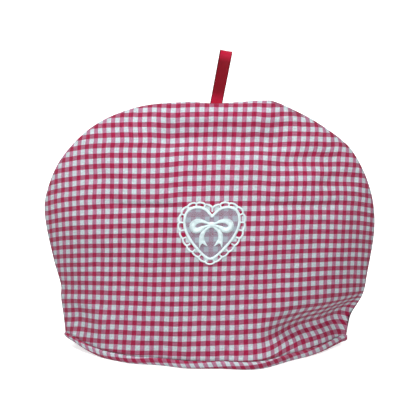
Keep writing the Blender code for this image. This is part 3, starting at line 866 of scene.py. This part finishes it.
# The heart's ground.
HEART_CENTRE = (1.2, 142.6)
HEART_LEAN = 0.045
HEART_SQUAT = 0.955         # the lace is stitched down a little shorter than its pattern
HEART_STEPS = 7
NOTCH_CUT = 0.4             # nearer to x = 0 than this, the moved line is made anew, straight to x = 0
BORDER_WIDTH = 2.4
NET_PITCH = 0.6
NET_STEP = 2.2
NET_THREAD = 0.18
NET_EDGE = -0.3             # the net ends just inside the border's middle line
NET_SPAN = 44.0
NET_RIPPLE = 0.06
# Turn of each set of threads in degrees, and how high it lies above the panel
NET_SETS = [(45, 0.30), (-45, 0.48)]
# The net's thread is greyer than the white thread, as painted shade of the threads on one another, with
# a pink tint of painted red light thrown back from the check
NET_COLOURS = (rgb(0.42, 0.44, 0.53), rgb(0.50, 0.52, 0.61))
NET_FUZZ_SCALE = 1800.0
# Half of the border's middle line, from the notch round the right lobe to the tip: x, z from the centre
HEART_HALF = [
    (0, 16.8), (2.5, 19.9), (6.5, 24), (11.5, 26.1), (16.5, 26.4), (21.5, 24.6), (25.3, 20),
    (26.5, 13.1), (25.9, 6.7), (23.5, 0), (18.9, -8), (12.5, -16.2), (6.5, -22.8), (2.6, -25.8),
    (0, -26.9),
]


def outwards(line):
    along = directions(line)
    return np.stack([-along[:, 1], along[:, 0]], axis=-1)


def heart_offset(distance, steps=HEART_STEPS):
    """The border's middle line moved outwards by a distance, with a sharp notch and tip on x = 0."""
    side = smooth_line(HEART_HALF, steps)
    moved = side + outwards(side) * distance
    moved = moved[moved[:, 0] > NOTCH_CUT]
    ends = []
    for near, end in ((moved[1], moved[0]), (moved[-2], moved[-1])):
        ends.append(end + (near - end) * end[0] / (end[0] - near[0]))
    half = along_line(np.vstack([ends[:1], moved, ends[1:]]), np.linspace(0, 1, len(side)))
    return np.vstack([half, (half * (-1, 1))[-2:0:-1]])


def on_panel(points, height):
    """Heart coordinates leant, moved to the front panel and lifted off its surface."""
    x = HEART_CENTRE[0] + points[..., 0] + HEART_LEAN * points[..., 1]
    z = HEART_CENTRE[1] + HEART_SQUAT * points[..., 1]
    cloth = panel_depth(x, z, SEAM_LINE, FRONT_CLOTH) + cloth_waves(x, -z)
    return np.stack([x, -(cloth + height), z], axis=-1)


def clip_to_outline(outline, origin, direction):
    """The stretches of a straight line that lie inside a closed outline, as pairs of distances."""
    start, end = outline, np.roll(outline, -1, axis=0)
    side = np.array([-direction[1], direction[0]])
    a, b = (start - origin) @ side, (end - origin) @ side
    cross = (a > 0) != (b > 0)
    share = a[cross] / (a[cross] - b[cross])
    hits = start[cross] + (end - start)[cross] * share[:, None]
    return np.sort((hits - origin) @ direction).reshape(-1, 2)


def add_thread(bm, uv, points, heights, radius):
    """One four-sided thread through flat points, laid on the panel."""
    across = outwards(points) * radius
    sides = ((across, 0), (0 * across, radius), (-across, 0), (0 * across, -radius))
    rows = [on_panel(points + offset, heights + up) for offset, up in sides]
    verts = add_rows(bm, np.array(rows))
    faces = skin(bm, verts, rows_closed=True)
    faces.append(bm.faces.new([row[0] for row in verts]))
    faces.append(bm.faces.new([row[-1] for row in verts]))
    for face in faces:
        for loop in face.loops:
            loop[uv].uv = (loop.vert.co.x, loop.vert.co.z)


def make_net(materials):
    """Two sets of fine threads that cross on the slant, cut to the heart's outline."""
    outline = heart_offset(NET_EDGE)
    bm = bmesh.new()
    uv = bm.loops.layers.uv.new("cloth")
    for turn, level in NET_SETS:
        angle = math.radians(turn)
        direction = np.array([math.cos(angle), math.sin(angle)])
        side = np.array([-direction[1], direction[0]])
        for offset in np.arange(-NET_SPAN, NET_SPAN, NET_PITCH):
            origin = offset * side
            for start, end in clip_to_outline(outline, origin, direction):
                count = max(3, int((end - start) / NET_STEP))
                at = np.linspace(start, end, count)
                wave = 0.5 + 0.5 * np.cos(np.pi * at / NET_PITCH)
                points = origin + at[:, None] * direction
                add_thread(bm, uv, points, level + NET_RIPPLE * wave, NET_THREAD / 2)
    return link_object("heart_net", finish_mesh(bm, "heart_net", materials))


def white_net():
    nodes = Nodes("white_net")
    fuzz = nodes.noise(nodes.uv("cloth"), NET_FUZZ_SCALE)
    nodes.paint(nodes.mix(nodes.ramp(fuzz, *BLOTCH_RANGE), *NET_COLOURS), roughness=0.85)
    nodes.bump(fuzz, distance=0.00005, strength=0.5)
    return nodes.material


heart_net = make_net([white_net()])
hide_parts("heart_ground")
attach(heart_net, "root")

# The heart's border. White thread laid closely side by side over a padded line, which makes a smooth
# shining cord all round the net and fastens it to the panel.
STITCH_SPACING = 0.36
STITCH_SEED = 7
STITCH_ARCH = 2.4           # the higher, the flatter the stitch's top
THREAD_SIDES = 5
BORDER_STEPS = 12
BORDER_LIFT = 0.15
THREAD_COLOURS = (rgb(0.62, 0.73, 0.75), rgb(0.75, 0.87, 0.88))
THREAD_BLOTCH_SCALE = 260.0
THREAD_FUZZ_SCALE = 2600.0


class Tree:
    """A short way to write a Geometry Nodes tree: each call adds one node and joins its inputs."""

    def __init__(self, name, sizes, material_name):
        self.group = bpy.data.node_groups.new(name, "GeometryNodeTree")
        face = self.group.interface
        face.new_socket("Path", in_out="INPUT", socket_type="NodeSocketGeometry")
        for label, value in sizes.items():
            kind = "NodeSocketInt" if isinstance(value, int) else "NodeSocketFloat"
            face.new_socket(label, in_out="INPUT", socket_type=kind).default_value = value
        face.new_socket(material_name, in_out="INPUT", socket_type="NodeSocketMaterial")
        face.new_socket("Result", in_out="OUTPUT", socket_type="NodeSocketGeometry")
        self.given = self.group.nodes.new("NodeGroupInput").outputs
        self.result = self.group.nodes.new("NodeGroupOutput").inputs["Result"]

    def add(self, kind, inputs, **settings):
        node = self.group.nodes.new(kind)
        for key, value in settings.items():
            setattr(node, key, value)
        for key, value in inputs.items():
            socket = node.inputs[key]
            if isinstance(value, bpy.types.NodeSocket):
                self.group.links.new(value, socket)
            else:
                socket.default_value = value
        return node.outputs

    def end(self, instances, material):
        real = self.add("GeometryNodeRealizeInstances", {"Geometry": instances})
        painted = self.add("GeometryNodeSetMaterial", {"Geometry": real[0], "Material": material})
        self.group.links.new(painted[0], self.result)


def satin_stitches(name):
    """Arched threads across a path, side by side; the curve's radius is half the stitch's length."""
    sizes = {"Spacing": STITCH_SPACING, "Thread": 0.2, "Rise": 1.2, "Unevenness": 0.05, "Steps": 7}
    tree = Tree(name, sizes, "Thread Material")
    given, add = tree.given, tree.add
    spaced = {"Curve": given["Path"], "Length": given["Spacing"]}
    along = add("GeometryNodeResampleCurve", spaced, mode="LENGTH")
    line = add("GeometryNodeCurvePrimitiveLine", {"Start": (0, -1, 0), "End": (0, 1, 0)})
    bar = add("GeometryNodeResampleCurve", {"Curve": line[0], "Count": given["Steps"]})
    place = add("ShaderNodeSeparateXYZ", {0: add("GeometryNodeInputPosition", {})[0]})
    off = add("ShaderNodeMath", {0: place["Y"]}, operation="ABSOLUTE")
    fall = add("ShaderNodeMath", {0: off[0], 1: STITCH_ARCH}, operation="POWER")
    arch = add("ShaderNodeMath", {0: 1.0, 1: fall[0]}, operation="SUBTRACT")
    height = add("ShaderNodeMath", {0: arch[0], 1: given["Rise"]}, operation="MULTIPLY")
    lift = add("ShaderNodeCombineXYZ", {"Z": height[0]})
    bent = add("GeometryNodeSetPosition", {"Geometry": bar[0], "Offset": lift[0]})
    ring_sizes = {"Resolution": THREAD_SIDES, "Radius": given["Thread"]}
    ring = add("GeometryNodeCurvePrimitiveCircle", ring_sizes)
    caps = {"Curve": bent[0], "Profile Curve": ring[0], "Fill Caps": True}
    stitch = add("GeometryNodeCurveToMesh", caps)
    low = add("ShaderNodeMath", {0: 1.0, 1: given["Unevenness"]}, operation="SUBTRACT")
    high = add("ShaderNodeMath", {0: 1.0, 1: given["Unevenness"]}, operation="ADD")
    between = {"Min": low[0], "Max": high[0], "Seed": STITCH_SEED}
    values = add("FunctionNodeRandomValue", between, data_type="FLOAT")
    chance = [socket for socket in values if socket.enabled][0]
    radius = add("GeometryNodeInputRadius", {})
    half = add("ShaderNodeMath", {0: radius[0], 1: chance}, operation="MULTIPLY")
    scale = add("ShaderNodeCombineXYZ", {"X": 1.0, "Y": half[0], "Z": chance})
    tangent = add("GeometryNodeInputTangent", {})
    axes = {"Primary Axis": tangent[0], "Secondary Axis": (0, 0, 1)}
    turn = add("FunctionNodeAxesToRotation", axes, primary_axis="X", secondary_axis="Z")
    row = {"Points": along[0], "Instance": stitch[0], "Rotation": turn[0], "Scale": scale[0]}
    tree.end(add("GeometryNodeInstanceOnPoints", row)[0], given["Thread Material"])
    return tree.group


def grow_on_paths(name, paths, group, values):
    """Run a tree on flat paths of x, z and half width, and give the result as a plain mesh."""
    curve = bpy.data.curves.new(name + "_paths", "CURVE")
    curve.dimensions = "3D"
    for points, closed in paths:
        spline = curve.splines.new("POLY")
        spline.points.add(len(points) - 1)
        for point, (x, z, half_width) in zip(spline.points, points):
            point.co = (x, z, 0, 1)
            point.radius = half_width
        spline.use_cyclic_u = closed
    guide = link_object(name + "_paths", curve)
    modifier = guide.modifiers.new("stitches", "NODES")
    modifier.node_group = group
    for item in group.interface.items_tree:
        if item.name in values:
            modifier[item.identifier] = values[item.name]
    evaluated = guide.evaluated_get(bpy.context.evaluated_depsgraph_get())
    grown = bpy.data.meshes.new_from_object(evaluated)
    guide.modifiers.remove(modifier)
    bpy.data.objects.remove(guide, do_unlink=True)
    return grown


def lay_on_panel(name, mesh, base):
    """Bend a flat mesh onto the front panel, as one piece."""
    flat = np.array([vertex.co for vertex in mesh.vertices])
    laid = on_panel(flat[:, :2], base + flat[:, 2]) * MM
    mesh.vertices.foreach_set("co", laid.ravel())
    mesh.flip_normals()
    mesh.update()
    mesh.shade_smooth()
    return link_object(name, mesh)


def white_thread():
    nodes = Nodes("white_thread")
    place = nodes.add("ShaderNodeTexCoord").outputs["Object"]
    blotch = nodes.noise(place, THREAD_BLOTCH_SCALE)
    colour = nodes.mix(nodes.ramp(blotch, *BLOTCH_RANGE), *THREAD_COLOURS)
    nodes.paint(colour, roughness=0.5, specular=0.4)
    nodes.bump(nodes.noise(place, THREAD_FUZZ_SCALE, detail=1.0), distance=0.00005, strength=0.4)
    return nodes.material


def with_width(line, half_width):
    return np.column_stack([line, np.full(len(line), half_width)])


stitch_tree = satin_stitches("satin_stitches")
lace_white = white_thread()
border_sizes = {
    "Spacing": STITCH_SPACING, "Thread": 0.21, "Rise": 1.2, "Steps": 8, "Thread Material": lace_white,
}
border_path = [(with_width(heart_offset(0.0, BORDER_STEPS), BORDER_WIDTH / 2), True)]
border_mesh = grow_on_paths("border", border_path, stitch_tree, border_sizes)
heart_border = lay_on_panel("heart_border_thread", border_mesh, BORDER_LIFT)
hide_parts("heart_border")
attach(heart_border, "root")

# The lace edging. One wavy cord of the same thread, bound closely with stitches, runs outside the
# border, and a short bridge joins it to the border wherever two of its waves meet.
SCALLOPS = 23
SCALLOP_THREAD = 0.85
SCALLOP_TIP = 2.3           # from the middle of the holes out to the loops' threads
SCALLOP_DIP = 1.1           # the same where two loops meet
SCALLOP_UNEVEN = 0.12       # how much the loops differ in reach, and how fast that changes along them
SCALLOP_UNEVEN_TURN = 2.3
SCALLOP_STEPS = 12
SCALLOP_SQUARENESS = 0.6    # 1 is a plain wave, and less makes rounder loops with sharper dips
HOLE_LINE_STEPS = 8
EDGING_LIFT = 0.2
BRIDGE_FOOT = -2.6          # from the middle of the holes in to the border
BRIDGE_THREAD = 0.75
# Half of the line through the middle of the scallops' holes, with a shallow notch and a round tip
SCALLOP_HALF = [
    (0, 24.4), (4.7, 26.4), (10.7, 28.7), (18.5, 28.4), (25.9, 23.6), (29.3, 16.9), (30.0, 9.5),
    (27.7, -1.5), (21.5, -12.5), (15.6, -19.0), (9.3, -24.6), (4, -28.8), (0, -30),
]


def scallop_paths():
    half = np.array(SCALLOP_HALF, float)
    whole = np.vstack([half, (half * (-1, 1))[-2:0:-1]])
    path = smooth_line(whole, HOLE_LINE_STEPS, closed=True)
    path = np.vstack([path, path[:1]])
    away = outwards(path)
    away[[0, -1]] = (0, 1)
    length = line_length(path)
    pitch = length[-1] / SCALLOPS

    def beside(at, offset):
        at = at % length[-1]
        point = np.array([np.interp(at, length, path[:, axis]) for axis in range(2)])
        direction = np.array([np.interp(at, length, away[:, axis]) for axis in range(2)])
        return point + offset * direction

    edge, bridges = [], []
    for scallop in range(SCALLOPS):
        uneven_share = SCALLOP_UNEVEN * math.sin(SCALLOP_UNEVEN_TURN * scallop)
        reach = (SCALLOP_TIP - SCALLOP_DIP) * (1 + uneven_share)
        for step in range(SCALLOP_STEPS):
            arch = math.sin(math.pi * step / SCALLOP_STEPS) ** SCALLOP_SQUARENESS
            at = (scallop + step / SCALLOP_STEPS) * pitch
            edge.append((*beside(at, SCALLOP_DIP + reach * arch), SCALLOP_THREAD))
        bridge = []
        for offset in (BRIDGE_FOOT, 0, SCALLOP_DIP):
            bridge.append((*beside(scallop * pitch, offset), BRIDGE_THREAD))
        bridges.append((bridge, False))
    return [(edge, True)] + bridges


edging_sizes = {
    "Spacing": 0.4, "Thread": 0.22, "Rise": 0.7, "Steps": 6, "Thread Material": lace_white,
}
edging_mesh = grow_on_paths("edging", scallop_paths(), stitch_tree, edging_sizes)
lace_edging = lay_on_panel("lace_edging_loops", edging_mesh, EDGING_LIFT)
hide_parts("lace_edging")
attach(lace_edging, "root")

# The bow. Worked in satin stitch on the net: a knot, two loops with an open slit and two tails that
# end in a swallow's tail, all in the same white thread.
BOW_KNOT = (0.0, 8.8)
BOW_STEPS = 8
KNOT_STEPS = 6
BOW_LIFT = 0.7
# Paths of the right half from the knot: x, z and half the width of the stitches
BOW_LOOP = [
    (1.6, 0.6, 1.6), (4.6, 2.1, 1.0), (8.6, 3.6, 1.6), (12.6, 4.1, 2.1), (16.4, 3.0, 2.6),
    (18.4, 0.4, 2.6), (18.6, -2.4, 2.5), (16.8, -4.8, 2.7), (13.6, -5.6, 2.5), (10.2, -3.7, 2.0),
    (6.6, -1.7, 1.2), (3.6, -0.7, 1.1), (1.6, -0.6, 1.4),
]
BOW_TAIL = [
    (1.8, -1.9, 1.0), (4.6, -3.8, 1.2), (7.2, -6.4, 1.6), (8.7, -9.6, 2.0), (9.1, -13.1, 2.2),
    (8.9, -16.6, 2.5), (8.4, -18.6, 2.8),
]
BOW_TAIL_TIPS = [
    [(9.7, -17.1, 1.6), (10.4, -19.8, 1.0), (10.9, -22.8, 0.35)],
    [(7.4, -17.1, 1.6), (5.6, -19.4, 1.0), (3.6, -21.3, 0.35)],
]
BOW_KNOT_PATH = [(-2.4, 0.2, 1.9), (-1.2, 0.0, 2.6), (1.2, 0.0, 2.6), (2.4, 0.2, 1.9)]


def bow_paths():
    paths = []
    for table in [BOW_LOOP, BOW_TAIL] + BOW_TAIL_TIPS:
        line = smooth_line(table, BOW_STEPS)
        for side in (1, -1):
            placed = line * (side, 1, 1) + (*BOW_KNOT, 0)
            paths.append((placed, False))
    paths.append((smooth_line(BOW_KNOT_PATH, KNOT_STEPS) + (*BOW_KNOT, 0), False))
    return paths


bow_sizes = {
    "Spacing": STITCH_SPACING, "Thread": 0.2, "Rise": 1.1, "Steps": 8, "Thread Material": lace_white,
}
bow_mesh = grow_on_paths("bow", bow_paths(), stitch_tree, bow_sizes)
bow_motif = lay_on_panel("bow_motif_stitches", bow_mesh, BOW_LIFT)
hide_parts("bow_motif")
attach(bow_motif, "root")
